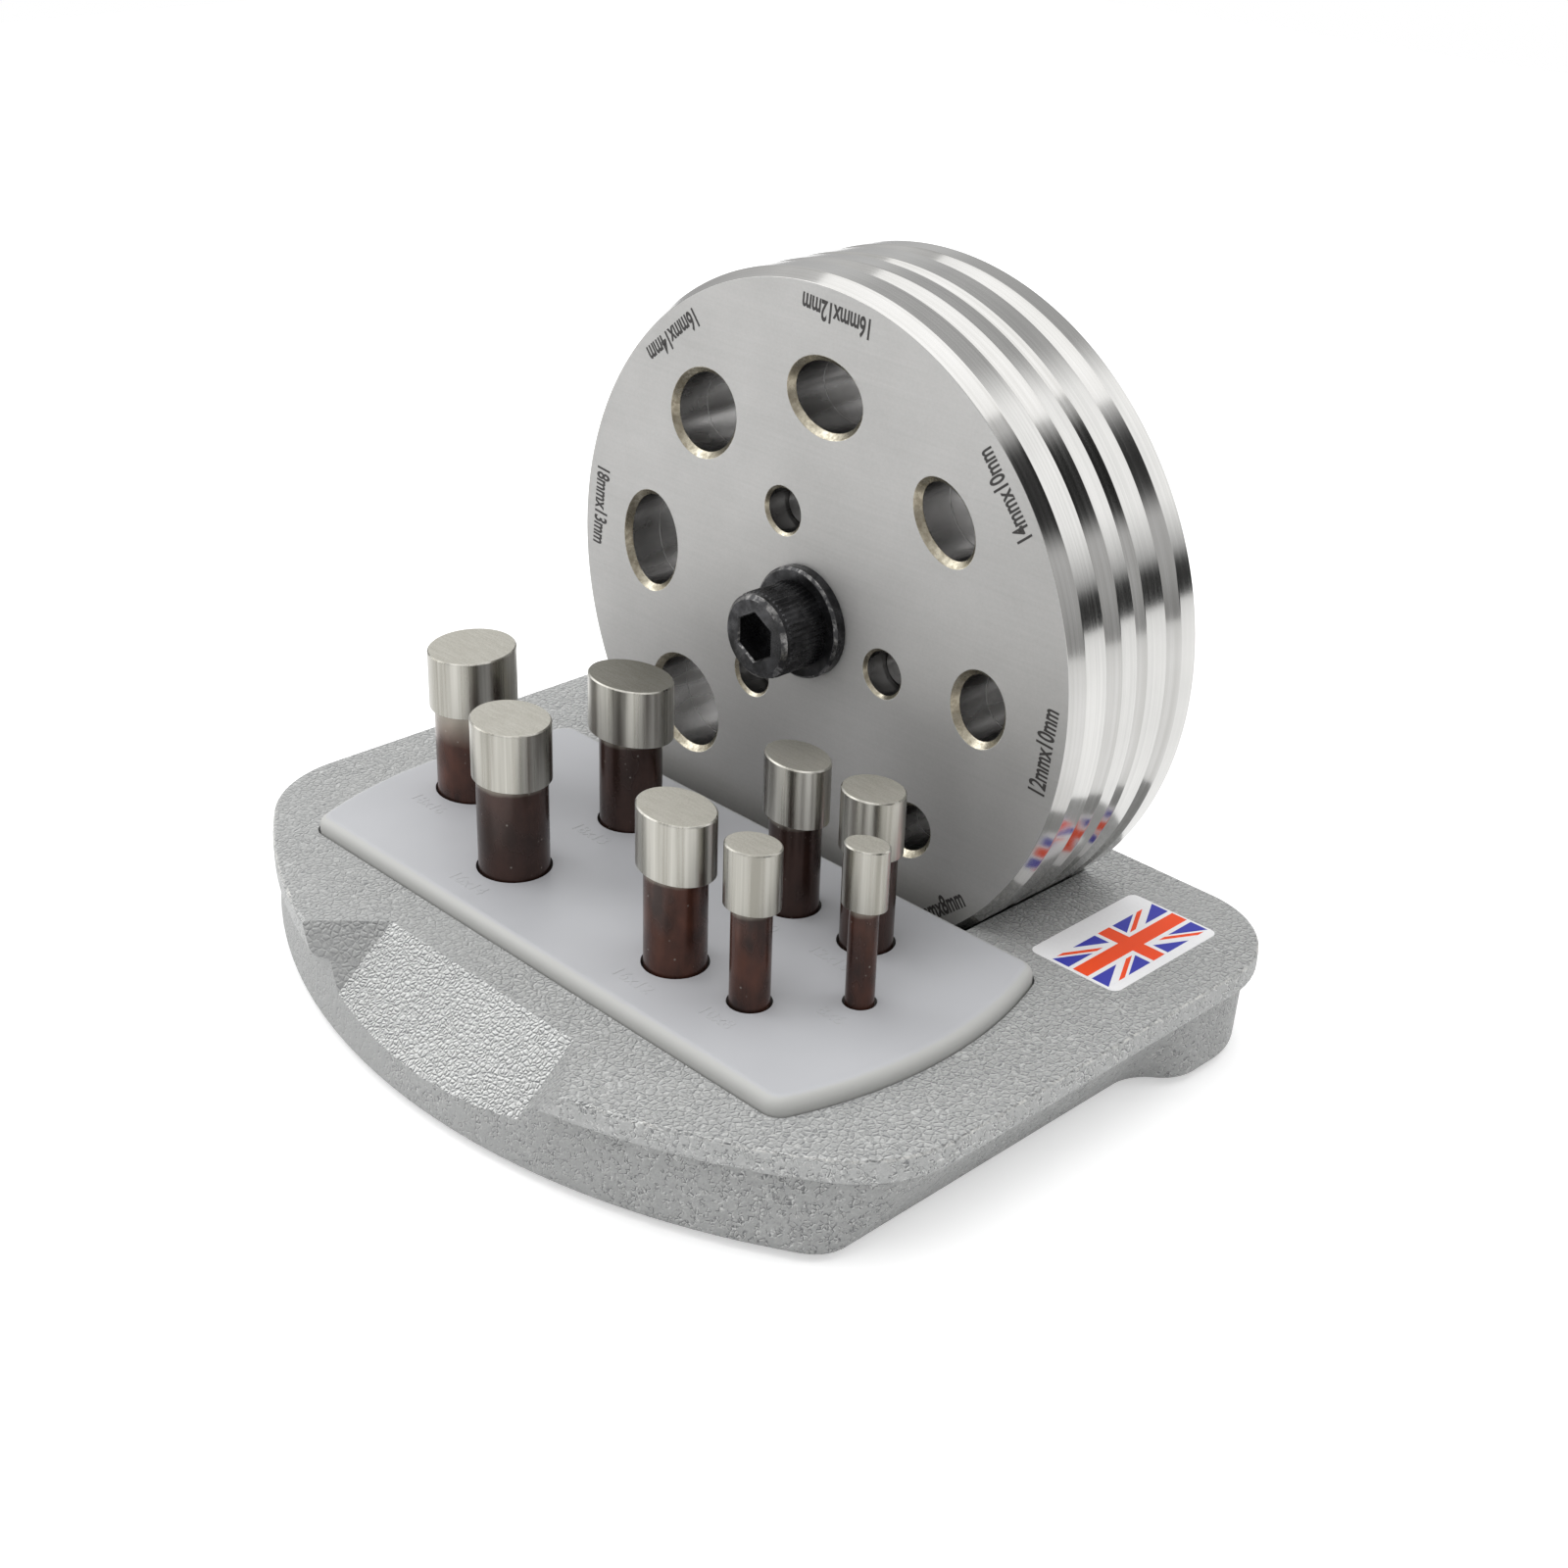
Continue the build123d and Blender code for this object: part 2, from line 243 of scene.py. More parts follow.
def splitAxes(tree, source):
    node = tree.nodes.new("ShaderNodeSeparateXYZ")
    tree.links.new(source, node.inputs["Vector"])
    return node.outputs


def setFinish(tree, shader, look, pattern, relief=None, colour=None):
    # colour and roughness follow one pattern over its part between two levels, and the relief is embossed
    if colour is None:
        colour = blendColours(tree, rise(tree, pattern, *look["levels"]), look["dark"], look["light"])
    tree.links.new(colour, shader.inputs["Base Color"])
    shader.inputs["Metallic"].default_value = look["metal"]
    roughLevels = look.get("roughLevels", look.get("levels"))
    tree.links.new(spread(tree, pattern, *roughLevels, *look["rough"]), shader.inputs["Roughness"])
    emboss(tree, shader, relief or pattern, *look["bump"])


# finishes; bump is the strength and the depth in millimetres

def grainHeight(tree, coords, upward, onPanel):
    # leathery pebbles on top, finer ones on the panel, sparse folds on the walls
    size = dict(pebble=880.0, panelPebble=1150.0, wallPebble=1300.0, fine=2400.0, swell=520.0,
                wallPatches=800.0, warpScale=650.0, warp=0.0009, pebbleShare=0.45, crumbOnWall=0.30,
                crumbOnTop=0.45, swellShare=0.60)
    bent = warped(tree, coords, size["warpScale"], size["warp"])
    pebbles = rise(tree, cells(tree, bent, size["pebble"], "DISTANCE_TO_EDGE"), 0.0, 0.22)
    fine = rise(tree, cells(tree, bent, size["panelPebble"], "DISTANCE_TO_EDGE"), 0.0, 0.24)
    pebbles = blendValues(tree, onPanel, pebbles, fine)
    folds = rise(tree, cells(tree, bent, size["wallPebble"], "DISTANCE_TO_EDGE"), 0.0, 0.15)
    sparse = rise(tree, noise(tree, coords, size["wallPatches"], 2.0), 0.40, 0.54)
    shapes = blendValues(tree, upward, maths(tree, "MAXIMUM", folds, sparse), pebbles)
    crumb = noise(tree, coords, size["fine"], 3.0, 0.6)
    swell = noise(tree, coords, size["swell"], 2.0, 0.5)
    crumb = times(tree, crumb, blendValues(tree, upward, size["crumbOnWall"], size["crumbOnTop"]))
    relief = maths(tree, "ADD", times(tree, shapes, size["pebbleShare"]), crumb)
    return maths(tree, "ADD", relief, times(tree, swell, size["swellShare"]))


def castPaint():
    # the shift of the second reading of the grain, in metres, sets the painted light and shade on the grain;
    # the last four are in millimetres
    look = dict(light=(0.650, 0.655, 0.645), dark=(0.185, 0.190, 0.193), paintedPanelLight=1.36, panelGain=1.6,
                paintedWallShade=0.88, paintedEdgeLight=1.07, paintedFlareShade=0.78, paleEdgeLine=(0.80, 0.79, 0.755), paleEdgeShare=0.62,
                metal=0.15, levels=(0.4, 1.1), rough=(0.62, 0.46), bump=(0.9, 1.0),
                paintedLightShift=(-0.00012, 0.00008, 0.00008), paintedShadeLevels=(-0.30, 0.34), topDepth=0.40, wallDepth=0.22,
                edgeBand=(15.0, 15.4), plateTop=(19.6, 19.75), besidePanel=(40, 43), behindPanel=(-50, -47))
    material, tree, shader = startMaterial("castPaint")
    coords = objectCoords(tree)
    geometry = tree.nodes.new("ShaderNodeNewGeometry")
    facing = splitAxes(tree, geometry.outputs["True Normal"])
    place = splitAxes(tree, coords)

    def pastPlace(source, limits):
        return rise(tree, source, limits[0] * mm, limits[1] * mm)

    upward = rise(tree, facing["Z"], 0.25, 0.60)
    onPanel = times(tree, rise(tree, facing["Y"], -0.50, -0.58), rise(tree, facing["Z"], 0.60, 0.70))
    # painted light and shade: the sides of the grain that face a fixed light direction are painted brighter
    # than those that face away
    shifted = tree.nodes.new("ShaderNodeVectorMath")
    shifted.inputs[1].default_value = look["paintedLightShift"]
    tree.links.new(coords, shifted.inputs[0])
    relief = grainHeight(tree, coords, upward, onPanel)
    grainTowardsPaintedLight = grainHeight(tree, shifted.outputs["Vector"], upward, onPanel)
    strong = spread(tree, noise(tree, coords, 24.0, 2.0), 0.36, 0.56, 0.45, 1.0)
    strong = maths(tree, "MAXIMUM", strong, onPanel)
    strong = times(tree, strong, blendValues(tree, onPanel, 1.0, look["panelGain"]))
    paintedGrainShade = times(tree, maths(tree, "SUBTRACT", relief, grainTowardsPaintedLight), strong)
    colour = blendColours(tree, rise(tree, paintedGrainShade, *look["paintedShadeLevels"]), look["dark"], look["light"])
    # painted light and shade by facing: the skirt and the flares beside the panel are painted a little
    # darker, the panel and the plate's edge painted brighter
    onEdgeBand = pastPlace(place["Z"], look["edgeBand"])
    level = blendValues(tree, upward, blendValues(tree, onEdgeBand, look["paintedWallShade"], look["paintedEdgeLight"]), 1.0)
    sideways = maths(tree, "ABSOLUTE", facing["X"], 0.0)
    onFlare = times(tree, rise(tree, sideways, 0.45, 0.55), rise(tree, facing["Z"], 0.45, 0.55))
    level = blendValues(tree, onFlare, level, look["paintedFlareShade"])
    level = blendValues(tree, onPanel, level, look["paintedPanelLight"])
    patchy = spread(tree, noise(tree, coords, 26.0, 3.0), 0.3, 0.7, 0.95, 1.04)
    colour = scaleColour(tree, colour, times(tree, level, patchy))
    # the upper edge of the plate is painted pale in a thin broken line, but not at the panel
    onEdge = times(tree, rise(tree, facing["Z"], 0.30, 0.42), rise(tree, facing["Z"], 0.84, 0.74))
    high = pastPlace(place["Z"], look["plateTop"])
    beside = pastPlace(maths(tree, "ABSOLUTE", place["X"], 0.0), look["besidePanel"])
    beside = maths(tree, "MAXIMUM", beside, pastPlace(place["Y"], look["behindPanel"]))
    paleEdgeBreakup = rise(tree, noise(tree, coords, 520.0, 3.0, 0.65), 0.40, 0.62, look["paleEdgeShare"])
    paleEdgeLine = times(tree, times(tree, onEdge, high), times(tree, paleEdgeBreakup, beside))
    colour = blendColours(tree, paleEdgeLine, colour, look["paleEdgeLine"])
    depth = blendValues(tree, upward, look["wallDepth"], look["topDepth"])
    setFinish(tree, shader, look, relief, times(tree, times(tree, relief, depth), strong), colour)
    return material


def trayPlastic():
    look = dict(light=(0.500, 0.507, 0.528), dark=(0.455, 0.462, 0.482), rim=(0.488, 0.490, 0.474),
                levels=(0.3, 0.7), metal=0.0, rough=(0.39, 0.50), bump=(0.12, 0.05), clouds=30.0,
                grain=2600.0)
    material, tree, shader = startMaterial("trayPlastic")
    coords = objectCoords(tree)
    cloud = noise(tree, coords, look["clouds"], 3.0, 0.55)
    grain = noise(tree, coords, look["grain"], 2.0)
    colour = blendColours(tree, rise(tree, cloud, *look["levels"]), look["dark"], look["light"])
    # painted tint: the rounded rim of the tray, which faces sideways, is painted a touch warmer than its top,
    # standing in for the different light it gets
    geometry = tree.nodes.new("ShaderNodeNewGeometry")
    onRim = rise(tree, splitAxes(tree, geometry.outputs["Normal"])["Z"], 0.985, 0.86)
    setFinish(tree, shader, look, cloud, grain, blendColours(tree, onRim, colour, look["rim"]))
    return material


def groundFace():
    look = dict(light=(0.528, 0.524, 0.515), dark=(0.440, 0.436, 0.427), levels=(0.42, 0.88), metal=0.72,
                rough=(0.62, 0.52), bump=(0.10, 0.03), streaks=(30.0, 30.0, 2200.0), grain=2400.0,
                clouds=24.0, cloudShare=0.75, grainShare=0.30)
    material, tree, shader = startMaterial("groundFace")
    streaks = noise(tree, objectCoords(tree, look["streaks"]), 1.0, 4.0, 0.6)
    grain = noise(tree, objectCoords(tree), look["grain"], 3.0, 0.6)
    cloud = noise(tree, objectCoords(tree), look["clouds"], 4.0, 0.6)
    pattern = mixed(tree, streaks, cloud, look["cloudShare"])
    pattern = maths(tree, "ADD", pattern, times(tree, grain, look["grainShare"]))
    setFinish(tree, shader, look, pattern, maths(tree, "ADD", streaks, grain))
    return material


def turnedRim(name, light, dark, sheen):
    look = dict(light=light, dark=dark, levels=(0.35, 0.65), metal=1.0, rough=(sheen, sheen + 0.06),
                bump=(0.06, 0.02), rings=(6.0, 2400.0, 6.0), clouds=60.0, cloudShare=0.4)
    material, tree, shader = startMaterial(name)
    rings = noise(tree, objectCoords(tree, look["rings"]), 1.0, 4.0, 0.6)
    cloud = noise(tree, objectCoords(tree), look["clouds"], 3.0, 0.5)
    setFinish(tree, shader, look, mixed(tree, rings, cloud, look["cloudShare"]), rings)
    return material


def reamedBore():
    look = dict(light=(0.560, 0.556, 0.552), dark=(0.270, 0.266, 0.262), levels=(0.36, 0.64), metal=1.0,
                rough=(0.30, 0.20), bump=(0.10, 0.05), streaks=(230.0, 45.0, 230.0), clouds=160.0,
                cloudShare=0.35)
    material, tree, shader = startMaterial("reamedBore")
    streaks = noise(tree, objectCoords(tree, look["streaks"]), 1.0, 1.0, 0.4)
    cloud = noise(tree, objectCoords(tree), look["clouds"], 2.0, 0.5)
    setFinish(tree, shader, look, mixed(tree, streaks, cloud, look["cloudShare"]), streaks)
    return material


def cutMouth():
    look = dict(light=(0.60, 0.563, 0.455), dark=(0.325, 0.293, 0.225), rightShadeColour=(0.14, 0.115, 0.08),
                rightShadeShare=0.65, levels=(0.34, 0.60), roughLevels=(0.36, 0.62), metal=0.9,
                rough=(0.34, 0.24), bump=(0.30, 0.05), bits=1100.0)
    material, tree, shader = startMaterial("cutMouth")
    bits = noise(tree, objectCoords(tree), look["bits"], 4.0, 0.6)
    colour = blendColours(tree, rise(tree, bits, *look["levels"]), look["dark"], look["light"])
    # painted shade: the side of the bevel that faces right, away from the light, is painted darker
    geometry = tree.nodes.new("ShaderNodeNewGeometry")
    facingRight = splitAxes(tree, geometry.outputs["True Normal"])["X"]
    paintedRightShade = rise(tree, facingRight, 0.05, 0.60, look["rightShadeShare"])
    setFinish(tree, shader, look, bits, colour=blendColours(tree, paintedRightShade, colour, look["rightShadeColour"]))
    return material


def groundHead():
    look = dict(light=(0.535, 0.524, 0.482), dark=(0.260, 0.251, 0.220), levels=(0.36, 0.62), metal=1.0,
                rough=(0.24, 0.34), bump=(0.10, 0.04), bands=(330.0, 330.0, 6.0),
                lines=(1900.0, 1900.0, 24.0), lineShare=0.28)
    material, tree, shader = startMaterial("groundHead")
    bands = noise(tree, objectCoords(tree, look["bands"]), 1.0, 2.0, 0.5)
    lines = noise(tree, objectCoords(tree, look["lines"]), 1.0, 3.0, 0.6)
    setFinish(tree, shader, look, mixed(tree, bands, lines, look["lineShare"]))
    return material


def sawnTop(name, light, dark):
    look = dict(light=light, dark=dark, levels=(0.36, 0.64), metal=0.95, rough=(0.50, 0.40),
                bump=(0.10, 0.03), specks=3600.0, cuts=(260.0, 1500.0, 100.0), cutShare=0.35)
    material, tree, shader = startMaterial(name)
    specks = noise(tree, objectCoords(tree), look["specks"], 3.0, 0.65)
    cuts = noise(tree, objectCoords(tree, look["cuts"]), 1.0, 2.0, 0.5)
    setFinish(tree, shader, look, mixed(tree, specks, cuts, look["cutShare"]))
    return material


def hardenedShank(name, paleLength, brown):
    # scale from hardening, with bare metal for a short way under the head; lengths in millimetres
    look = dict(light=brown, dark=(0.032, 0.018, 0.015), pale=(0.40, 0.375, 0.32), paleShare=0.9,
                intoHead=1.2, paleWander=1.6, fleck=(0.35, 0.33, 0.30), fleckSize=420.0, fleckShare=0.55,
                levels=(0.36, 0.68), roughLevels=(0.36, 0.66), metal=0.45, rough=(0.30, 0.20),
                bump=(0.05, 0.03), clouds=(170.0, 170.0, 110.0), lines=(900.0, 900.0, 50.0), lineShare=0.15)
    material, tree, shader = startMaterial(name)
    cloud = noise(tree, objectCoords(tree, look["clouds"]), 1.0, 3.0, 0.5)
    lines = noise(tree, objectCoords(tree, look["lines"]), 1.0, 2.0, 0.5)
    pattern = mixed(tree, cloud, lines, look["lineShare"])
    colour = blendColours(tree, rise(tree, pattern, *look["levels"]), look["dark"], look["light"])
    flecks = rise(tree, cells(tree, objectCoords(tree), look["fleckSize"]), 0.10, 0.04, look["fleckShare"])
    colour = blendColours(tree, flecks, colour, look["fleck"])
    wander = times(tree, cloud, look["paleWander"] * mm)
    height = maths(tree, "ADD", splitAxes(tree, objectCoords(tree))["Z"], wander)
    paleFrom = (punchForm["under"] - paleLength) * mm
    bare = rise(tree, height, paleFrom, (punchForm["under"] + look["intoHead"]) * mm, look["paleShare"])
    setFinish(tree, shader, look, pattern, lines, blendColours(tree, bare, colour, look["pale"]))
    return material


def evenFinish(name, scale, look, detail=3.0, rough=0.5):
    # a finish with a single pattern
    material, tree, shader = startMaterial(name)
    setFinish(tree, shader, look, noise(tree, objectCoords(tree), scale, detail, rough))
    return material


# painted shade: the guide pins sit deep in their bores, so their steel is painted dark to stand in for the
# shade there
def pinInPaintedShade():
    return evenFinish("pinInPaintedShade", 700.0, dict(
        light=(0.24, 0.235, 0.23), dark=(0.10, 0.10, 0.10), levels=(0.0, 1.0), roughLevels=(0.3, 0.7),
        metal=1.0, rough=(0.25, 0.38), bump=(0.1, 0.03)))


def blackOxide():
    return evenFinish("blackOxide", 420.0, dict(
        light=(0.070, 0.070, 0.074), dark=(0.020, 0.020, 0.021), levels=(0.35, 0.68),
        roughLevels=(0.35, 0.65), metal=0.85, rough=(0.34, 0.22), bump=(0.12, 0.04)), 4.0, 0.6)


def rubbedOxide():
    # the edges of the screw head and washer, where the black finish is rubbed through
    return evenFinish("rubbedOxide", 620.0, dict(
        light=(0.27, 0.265, 0.26), dark=(0.050, 0.050, 0.052), levels=(0.46, 0.66), roughLevels=(0.4, 0.66),
        metal=0.9, rough=(0.30, 0.22), bump=(0.2, 0.03)), 4.0, 0.65)


def padRubber():
    return evenFinish("padRubber", 1200.0, dict(
        light=(0.040, 0.040, 0.041), dark=(0.022, 0.022, 0.023), levels=(0.0, 1.0), roughLevels=(0.3, 0.7),
        metal=0.0, rough=(0.7, 0.85), bump=(0.3, 0.05)))


def etchedBlack():
    return evenFinish("etchedBlack", 3000.0, dict(
        light=(0.050, 0.046, 0.044), dark=(0.012, 0.011, 0.011), levels=(0.0, 1.0), roughLevels=(0.3, 0.7),
        metal=0.0, rough=(0.5, 0.7), bump=(0.1, 0.02)))


def printedFilm(name, colour):
    look = dict(light=colour, dark=tuple(0.93 * part for part in colour), levels=(0.0, 1.0),
                roughLevels=(0.3, 0.7), metal=0.0, rough=(0.28, 0.38), bump=(0.05, 0.02), shine=0.25)
    material = evenFinish(name, 1800.0, look, 2.0)
    material.node_tree.nodes["Principled BSDF"].inputs["Specular IOR Level"].default_value = look["shine"]
    return material


# heights of a punch, which its finish needs as well
punchForm = dict(foot=11.25, under=41.4, top=52.55, footChamfer=0.5, topChamfer=0.25, steps=96, softEdge=0.05)

paint = castPaint()
plastic = trayPlastic()
face = groundFace()
rim = turnedRim("turnedRim", (0.60, 0.595, 0.58), (0.49, 0.487, 0.475), 0.11)
rimBevel = turnedRim("turnedBevel", (0.51, 0.505, 0.495), (0.41, 0.405, 0.39), 0.10)
bore = reamedBore()
pinSteel = pinInPaintedShade()
mouth = cutMouth()
head = groundHead()
headTop = sawnTop("sawnTop", (0.600, 0.585, 0.530), (0.460, 0.445, 0.390))
# painted shade: a darker copy of the sawn top, used for the top of the 18x13 punch beside the die plates
paintedShadeTop = sawnTop("paintedShadeTop", (0.300, 0.292, 0.258), (0.220, 0.212, 0.184))
shank = hardenedShank("hardenedShank", 0.6, (0.118, 0.046, 0.031))
darkShank = hardenedShank("darkShank", 0.6, (0.064, 0.032, 0.025))
paleShank = hardenedShank("paleNeckedShank", 6.0, (0.118, 0.046, 0.031))
oxide = blackOxide()
oxideEdge = rubbedOxide()
rubber = padRubber()
etched = etchedBlack()
print("finishes ready")


# the stand and its tray keep their modelled shape and get their finish

def dress(name, material):
    piece = nodes[name]
    piece.data.materials.clear()
    piece.data.materials.append(material)


dress("base_casting", paint)
dress("punch_tray", plastic)
for corner in ("front_left", "front_right", "rear_left", "rear_right"):
    dress("foot_pad_" + corner, rubber)
print("stand dressed")


# die plates

dieSet = dict(radius=62.5, gauge=8.0, faceY=23.15, axisZ=65.2, turn=-4.0, rimSteps=360, holeSteps=96,
              chamferIn=1.5, narrow=2.7, wide=4.1, holeRing=42.0, mouthDepth=1.15, softEdge=0.14,
              pinRing=20.0, pinFirst=112.5, pinRadius=4.05, pinMouth=0.6, boreSteps=64,
              cutPlay=0.05, dropPlay=0.45, runningBore=5.3, threadBore=5.05)
ovals = ((18, 13), (16, 14), (16, 12), (14, 10), (12, 10), (10, 8), (8, 6), (18, 16))


def ringPlace(radius, degrees):
    return radius * math.cos(math.radians(degrees)), radius * math.sin(math.radians(degrees))


def atDie(y, centre=(0.0, 0.0)):
    # flat point on the die face, seen from the front, to a point in space
    return lambda u, v: (centre[0] + u, y, dieSet["axisZ"] + centre[1] + v)


def pinCentre(place):
    return ringPlace(dieSet["pinRing"], dieSet["pinFirst"] + dieSet["turn"] - 120 * place)


def holeThrough(shape, outline, front, back, centre=(0.0, 0.0), mouthDepth=0.0):
    # outline gives the hole's points, grown by a length; the hole's rings on the two faces are returned
    lip = addRing(shape, outline(mouthDepth), atDie(front, centre)) if mouthDepth else None
    near = addRing(shape, outline(0.0), atDie(front + mouthDepth, centre))
    far = addRing(shape, outline(0.0), atDie(back, centre))
    if lip:
        bridge(shape, lip, near, 3)
    bridge(shape, near, far, 2)
    return lip or near, far


def diePlate(name, index, body, chamferLong, play, withMouth, screwRadius):
    size = dieSet
    front = size["faceY"] + index * size["gauge"]
    back = front + size["gauge"]
    shape = newShape()
    rimStack = ((size["radius"] - size["chamferIn"], front), (size["radius"], front + chamferLong),
                (size["radius"], back))
    outer = [addRing(shape, ringPoints(radius, size["rimSteps"]), atDie(y)) for radius, y in rimStack]
    bridge(shape, outer[0], outer[1], 4)
    bridge(shape, outer[1], outer[2], 1)
    holes = []
    for place, (long, short) in enumerate(ovals):
        angle = 180 + size["turn"] - 45 * place
        wide, tall = long / 2 + play, short / 2 + play

        def oval(grown):
            oblong = (tall + grown) / (wide + grown)
            return ringPoints(wide + grown, size["holeSteps"], math.radians(angle + 90), oblong)

        holes.append(holeThrough(shape, oval, front, back, ringPlace(size["holeRing"], angle),
                                 size["mouthDepth"] if withMouth else 0.0))

    def roundHole(radius):
        return lambda grown: ringPoints(radius + grown, size["boreSteps"])

    for place in range(3):
        holes.append(holeThrough(shape, roundHole(size["pinRadius"]), front, back, pinCentre(place),
                                 size["pinMouth"] if withMouth else 0.0))
    holes.append(holeThrough(shape, roundHole(screwRadius), front, back))
    fillBetween(shape, [outer[0]] + [near for near, far in holes], 0)
    fillBetween(shape, [outer[2]] + [far for near, far in holes], 0)
    finishes = (face, rim, bore, mouth, rimBevel)
    piece = finishShape(shape, name, finishes, body, size["softEdge"])
    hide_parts(name.replace("Shown", ""))
    return piece


for index, (name, body, chamfer, play, withMouth, screwHole) in enumerate((
        ("front_guide_plate", "guide_plates", "narrow", "cutPlay", True, "runningBore"),
        ("rear_guide_plate", "guide_plates", "wide", "cutPlay", False, "runningBore"),
        ("cutting_plate", "die_block", "narrow", "cutPlay", False, "runningBore"),
        ("backing_plate", "die_block", "wide", "dropPlay", False, "threadBore"))):
    diePlate(name + "Shown", index, body, dieSet[chamfer], dieSet[play], withMouth, dieSet[screwHole])
print("die plates built")


# guide pins

pins = dict(radius=4.0, front=28.15, back=54.15, chamfer=0.5, steps=64, softEdge=0.08)
for place in range(3):
    shape = newShape()
    tip, steps = pins["radius"] - pins["chamfer"], pins["steps"]
    stack = ((tip, pins["front"]), (pins["radius"], pins["front"] + pins["chamfer"]),
             (pins["radius"], pins["back"] - pins["chamfer"]), (tip, pins["back"]))
    rings = [addRing(shape, ringPoints(radius, steps), atDie(y, pinCentre(place))) for radius, y in stack]
    for low, high in zip(rings, rings[1:]):
        bridge(shape, low, high, 0)
    cap(shape, rings[0], 0)
    cap(shape, rings[-1], 0)
    number = place + 1
    pin = finishShape(shape, "guidePin%d" % number, (pinSteel,), "die_block",
                      pins["softEdge"])
    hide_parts("guide_pin_%d" % number)
print("guide pins built")


# clamp screw with a knurled head, and its washer

screw = dict(headRadius=8.0, headLong=10.0, knurlDepth=0.28, knurlTeeth=48, plainTop=1.5, topChamfer=0.8,
             knurlRunOut=0.3, hexAcross=8.0, hexDeep=5.0, hexLip=0.25, hexLipDeep=0.35, shankRadius=5.0,
             tipChamfer=1.0, headFront=10.75, tip=54.55, stepsPerTooth=4, sharpAngle=24.0)


def hexPoints(across, count):
    points = []
    for step in range(count):
        angle = 2 * math.pi * step / count
        inSide = ((angle + math.pi / 6) % (math.pi / 3)) - math.pi / 6
        reach = across / 2 / math.cos(inSide)
        points.append((reach * math.cos(angle), reach * math.sin(angle)))
    return points


def knurlPoints(radius, depth, teeth, count):
    points = []
    for step in range(count):
        angle = 2 * math.pi * step / count
        wave = abs((step * teeth / count) % 1.0 - 0.5) * 2
        reach = radius - depth * (1 - wave)
        points.append((reach * math.cos(angle), reach * math.sin(angle)))
    return points


def capScrew():
    size = screw
    count = size["knurlTeeth"] * size["stepsPerTooth"]
    front, tipEnd = size["headFront"], size["tip"]
    under = front + size["headLong"]
    plain = ringPoints(size["headRadius"] - size["knurlDepth"], count)
    knurl = knurlPoints(size["headRadius"], size["knurlDepth"], size["knurlTeeth"], count)
    crown = ringPoints(size["headRadius"] - size["knurlDepth"] - size["topChamfer"], count)
    stem = ringPoints(size["shankRadius"], count)
    stemTip = ringPoints(size["shankRadius"] - size["tipChamfer"], count)
    stack = ((crown, front), (plain, front + size["topChamfer"]), (plain, front + size["plainTop"]),
             (knurl, front + size["plainTop"] + size["knurlRunOut"]), (knurl, under - size["knurlRunOut"]),
             (plain, under), (stem, under), (stem, tipEnd - size["tipChamfer"]), (stemTip, tipEnd))
    shape = newShape()
    rings = [addRing(shape, outline, atDie(y)) for outline, y in stack]
    for place, (low, high) in enumerate(zip(rings, rings[1:])):
        bridge(shape, low, high, 1 if place == 0 else 0)
    cap(shape, rings[-1], 0)
    hexagon = hexPoints(size["hexAcross"], count)
    lip = addRing(shape, hexPoints(size["hexAcross"] + 2 * size["hexLip"], count), atDie(front))
    hexTop = addRing(shape, hexagon, atDie(front + size["hexLipDeep"]))
    hexFloor = addRing(shape, hexagon, atDie(front + size["hexDeep"]))
    bridge(shape, rings[0], lip, 0)
    bridge(shape, lip, hexTop, 1)
    bridge(shape, hexTop, hexFloor, 0)
    cap(shape, hexFloor, 0)
    piece = finishShape(shape, "capScrewShown", (oxide, oxideEdge), "cap_screw",
                        bevelAngle=size["sharpAngle"])
    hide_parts("cap_screw")


def thrustWasher():
    size = dict(outer=10.4, inner=5.25, thick=2.4, chamfer=0.5, steps=128, softEdge=0.12)
    front = dieSet["faceY"] - size["thick"]
    shape = newShape()
    stack = ((size["inner"], front), (size["outer"] - size["chamfer"], front),
             (size["outer"], front + size["chamfer"]), (size["outer"], front + size["thick"]),
             (size["inner"], front + size["thick"]))
    rings = [addRing(shape, ringPoints(radius, size["steps"]), atDie(y)) for radius, y in stack]
    for place, (low, high) in enumerate(zip(rings, rings[1:] + rings[:1])):
        bridge(shape, low, high, 1 if place == 1 else 0)
    piece = finishShape(shape, "thrustWasherShown", (oxide, oxideEdge), "guide_plates",
                        size["softEdge"])
    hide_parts("thrust_washer")


capScrew()
thrustWasher()
print("screw and washer built")


# punches

punchStock = {
    "18x13": dict(long=18.0, short=13.0, shank=11.8, x=-23.0, y=1.85, turn=6.0, neck=darkShank,
                  crown=paintedShadeTop),
    "16x14": dict(long=16.0, short=14.0, shank=13.0, x=-23.0, y=-25.85, turn=171.0, neck=darkShank),
    "16x12": dict(long=16.0, short=12.0, shank=10.9, x=21.1, y=-26.15, turn=175.5),
    "14x10": dict(long=14.0, short=10.0, shank=9.3, x=20.6, y=2.05, turn=173.0, neck=darkShank),
    "12x10": dict(long=12.0, short=10.0, shank=9.4, x=37.8, y=2.85, turn=179.0, neck=darkShank),
    "10x8": dict(long=10.0, short=8.0, shank=6.9, x=38.5, y=-25.35, turn=16.0),
    "8x6": dict(long=8.0, short=6.0, shank=4.95, x=50.5, y=-11.8, turn=14.0),
    "18x16": dict(long=18.0, short=16.0, shank=14.9, x=-52.4, y=-12.05, turn=108.0, neck=paleShank),
}


